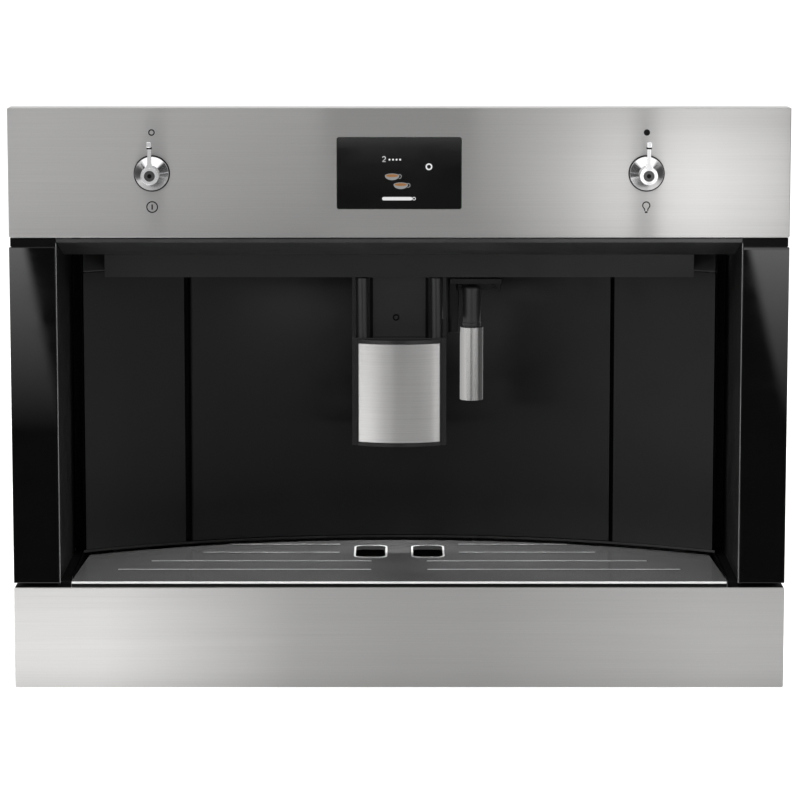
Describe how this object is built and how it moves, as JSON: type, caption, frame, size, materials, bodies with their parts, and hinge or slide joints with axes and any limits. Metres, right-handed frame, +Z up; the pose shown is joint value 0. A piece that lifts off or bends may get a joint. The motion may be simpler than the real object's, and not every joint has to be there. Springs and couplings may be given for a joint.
{
  "type": "built-in coffee machine",
  "caption": "Built-in bean-to-cup coffee machine with a steel fascia, lever knobs, display, curved black recess, sliding spout, drip drawer and telescopic rails.",
  "frame": {"origin": "on the niche floor line, in the middle of the width, on the rear face of the front frame, which closes against the cabinet's front edges", "axes": "+X to the viewer's right, +Y into the niche, +Z up; the front faces -Y"},
  "size_m": [0.595, 0.4582, 0.449],
  "materials": {
    "brushed_steel": "horizontally brushed stainless steel",
    "chrome": "polished chrome plating",
    "black_glass": "black glass, polished",
    "black_plastic": "fine satin moulded black",
    "gloss_black": "gloss moulded black",
    "smoked_plastic": "smoked clear plastic",
    "white_plastic": "satin moulded white",
    "red_plastic": "satin moulded red",
    "zinc_steel": "zinc-coated sheet steel",
    "black_enamel": "black powder coat",
    "tool_steel": "machined steel",
    "circuit_board": "green solder resist",
    "copper": "drawn copper tube"
  },
  "bodies": {
    "cabinet_rails": {"rail_outer_left": "zinc_steel", "rail_outer_right": "zinc_steel"},
    "rail_carriages": {"rail_middle_left": "zinc_steel", "rail_middle_right": "zinc_steel"},
    "machine": {"rail_inner_left": "zinc_steel", "rail_inner_right": "zinc_steel", "base_plate": "zinc_steel", "side_panel_left": "zinc_steel", "side_panel_right": "zinc_steel", "rear_panel": "zinc_steel", "top_cover": "zinc_steel", "front_frame": "black_enamel", "brew_shelf": "zinc_steel", "upper_deck": "zinc_steel", "control_fascia": "brushed_steel", "side_glass_left": "black_glass", "side_glass_right": "black_glass", "recess_wall_left": "black_plastic", "recess_wall_right": "black_plastic", "recess_ceiling": "black_plastic", "recess_panel_left": "black_plastic", "dispensing_head": "black_plastic", "cup_lamp": "white_plastic", "display_glass": "black_glass", "control_board": "circuit_board", "tank_dock": "black_plastic", "brew_body": "white_plastic", "powder_chute": "black_plastic", "bean_hopper": "smoked_plastic", "grinder_body": "black_plastic", "grinder_motor": "tool_steel", "boiler": "brushed_steel", "pump": "tool_steel", "coffee_pipe": "copper", "power_board": "circuit_board", "power_inlet": "black_plastic"},
    "left_stem": {"knob_stem_left": "zinc_steel"},
    "left_knob": {"knob_left": "chrome"},
    "right_stem": {"knob_stem_right": "zinc_steel"},
    "right_knob": {"knob_right": "chrome"},
    "drawer": {"drawer_front": "brushed_steel", "drip_basin": "black_plastic", "cup_grille": "gloss_black", "grounds_container": "black_plastic"},
    "float": {"level_float": "red_plastic"},
    "tank": {"tank_panel": "black_plastic", "water_tank": "smoked_plastic", "tank_lid": "black_plastic"},
    "door": {"service_door": "black_plastic", "nozzle_bracket": "gloss_black"},
    "spout": {"spout_housing": "gloss_black", "spout_plate": "brushed_steel"},
    "nozzle": {"nozzle_grip": "black_plastic"},
    "sleeve": {"nozzle_sleeve": "brushed_steel"},
    "bean_flap": {"bean_lid": "smoked_plastic"},
    "powder_flap": {"powder_lid": "black_plastic"},
    "dial": {"grind_dial": "black_plastic"},
    "burr": {"grinding_burr": "tool_steel"},
    "piston": {"brew_piston": "white_plastic"},
    "switch": {"main_switch": "gloss_black"}
  },
  "joints": [
    {"name": "pull_out", "type": "slide", "parent": "cabinet_rails", "child": "machine", "axis": [0, -1, 0], "range_m": [0, 0.28]},
    {"name": "carriage_slide", "type": "slide", "parent": "cabinet_rails", "child": "rail_carriages", "axis": [0, -1, 0], "range_m": [0, 0.14]},
    {"name": "left_knob_press", "type": "slide", "parent": "machine", "child": "left_stem", "axis": [0, 1, 0], "range_m": [0, 0.002], "stiffness_N_per_m": 1500, "springref_m": -0.0005},
    {"name": "left_knob_turn", "type": "hinge", "parent": "left_stem", "child": "left_knob", "pos_m": [-0.188, -0.035, 0.3942], "axis": [0, -1, 0], "continuous": true},
    {"name": "right_knob_press", "type": "slide", "parent": "machine", "child": "right_stem", "axis": [0, 1, 0], "range_m": [0, 0.002], "stiffness_N_per_m": 1500, "springref_m": -0.0005},
    {"name": "right_knob_turn", "type": "hinge", "parent": "right_stem", "child": "right_knob", "pos_m": [0.188, -0.035, 0.3942], "axis": [0, -1, 0], "continuous": true},
    {"name": "drawer_slide", "type": "slide", "parent": "machine", "child": "drawer", "axis": [0, -1, 0], "range_m": [0, 0.2]},
    {"name": "float_rise", "type": "slide", "parent": "drawer", "child": "float", "axis": [0, 0, 1], "range_m": [0, 0.04]},
    {"name": "tank_slide", "type": "slide", "parent": "machine", "child": "tank", "axis": [0, -1, 0], "range_m": [0, 0.25]},
    {"name": "door_swing", "type": "hinge", "parent": "machine", "child": "door", "pos_m": [-0.1669, 0.1361, 0.195], "axis": [0, 0, -1], "range_deg": [0, 80]},
    {"name": "spout_slide", "type": "slide", "parent": "door", "child": "spout", "axis": [0, 0, -1], "range_m": [0, 0.03]},
    {"name": "nozzle_swing", "type": "hinge", "parent": "door", "child": "nozzle", "pos_m": [0.057, 0.068, 0.292], "axis": [0, -1, 0], "range_deg": [0, 35]},
    {"name": "sleeve_pull", "type": "slide", "parent": "nozzle", "child": "sleeve", "axis": [0, 0, -1], "range_m": [0, 0.045]},
    {"name": "bean_lid_hinge", "type": "hinge", "parent": "machine", "child": "bean_flap", "pos_m": [0.092, 0.388, 0.4148], "axis": [-1, 0, 0], "range_deg": [0, 95]},
    {"name": "powder_lid_hinge", "type": "hinge", "parent": "machine", "child": "powder_flap", "pos_m": [-0.025, 0.248, 0.4148], "axis": [-1, 0, 0], "range_deg": [0, 95]},
    {"name": "dial_turn", "type": "hinge", "parent": "machine", "child": "dial", "pos_m": [0.178, 0.3, 0.411], "axis": [0, 0, 1], "range_deg": [-100, 100]},
    {"name": "burr_spin", "type": "hinge", "parent": "machine", "child": "burr", "pos_m": [0.1, 0.3, 0.3], "axis": [0, 0, 1], "continuous": true},
    {"name": "piston_stroke", "type": "slide", "parent": "machine", "child": "piston", "axis": [0, 0, 1], "range_m": [0, 0.05]},
    {"name": "switch_rock", "type": "hinge", "parent": "machine", "child": "switch", "pos_m": [-0.205, 0.392, 0.105], "axis": [1, 0, 0], "range_deg": [0, 22]}
  ],
  "couplings": [
    {"joint": "carriage_slide", "follows": "pull_out", "ratio": 0.5}
  ]
}
